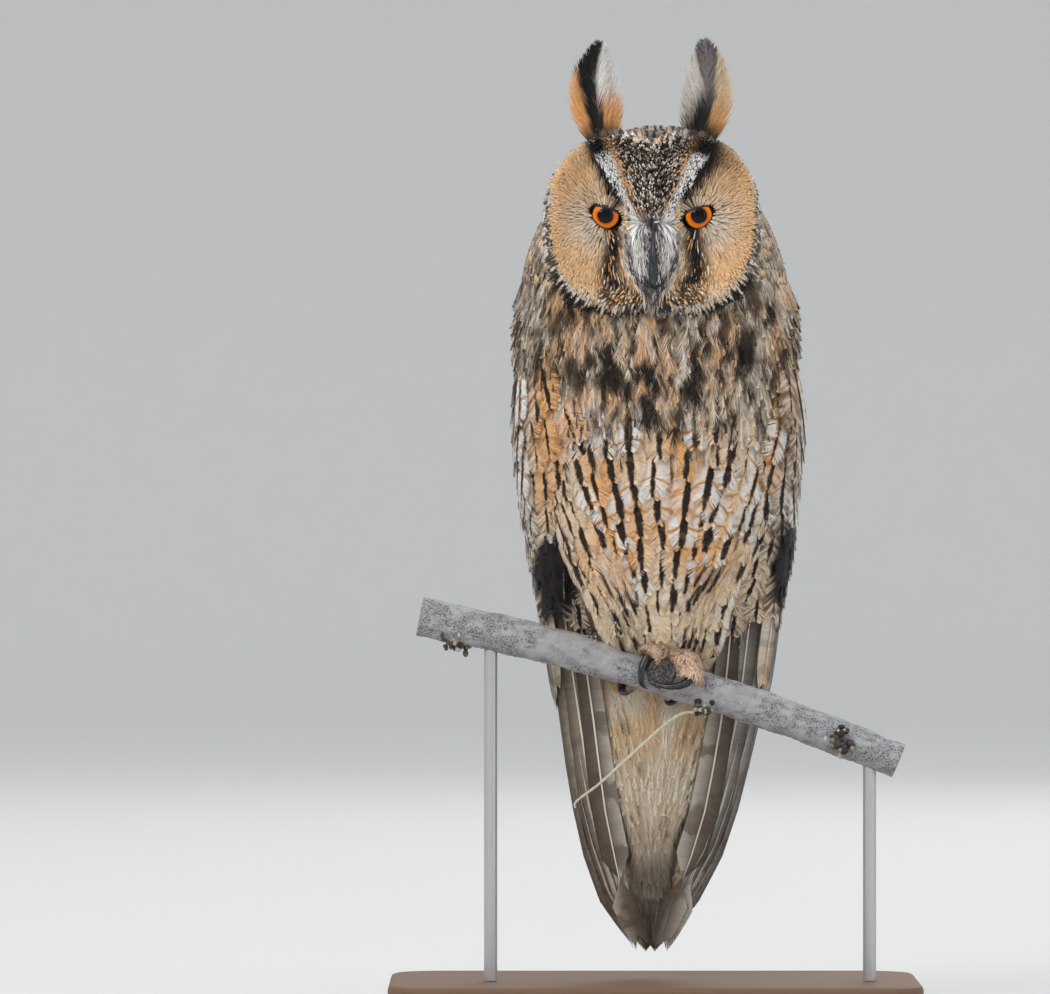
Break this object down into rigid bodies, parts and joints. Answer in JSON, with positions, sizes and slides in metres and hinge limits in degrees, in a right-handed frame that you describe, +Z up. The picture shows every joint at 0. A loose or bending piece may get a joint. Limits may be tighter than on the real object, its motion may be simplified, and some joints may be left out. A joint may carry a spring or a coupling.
{
  "type": "long-eared owl display model",
  "caption": "Life-size long-eared owl standing upright on a sloping cut branch, held over a flat base by two rods.",
  "frame": {"origin": "middle of the underside of the stand's base plate", "axes": "+Z up, -Y the way the owl faces, +X the owl's left"},
  "size_m": [0.24, 0.15, 0.4395],
  "materials": {
    "plumage": "buff, grey and black-brown streaked feathers, matt",
    "down": "short orange-buff down on the legs and toes",
    "eye": "polished, orange iris round a black pupil",
    "horn": "dark slate horn, smooth",
    "bark": "grey speckled bark",
    "stand_wood": "dark stained wood, satin",
    "stand_steel": "brushed"
  },
  "bodies": {
    "root": {"head": "plumage", "neck": "plumage", "torso": "plumage", "tail": "plumage", "wing_left": "plumage", "wing_right": "plumage", "ear_tuft_left": "plumage", "ear_tuft_right": "plumage", "eye_left": "eye", "eye_right": "eye", "bill_upper": "horn", "bill_lower": "horn", "leg_left": "down", "leg_right": "down", "foot_left": "down", "foot_right": "down", "perch": "bark", "perch_twig": "bark", "stand_base": "stand_wood", "stand_rod_left": "stand_steel", "stand_rod_right": "stand_steel", "claw_left_1": "horn", "claw_left_2": "horn", "claw_left_3": "horn", "claw_left_4": "horn", "claw_right_1": "horn", "claw_right_2": "horn", "claw_right_3": "horn", "claw_right_4": "horn"}
  },
  "joints": []
}
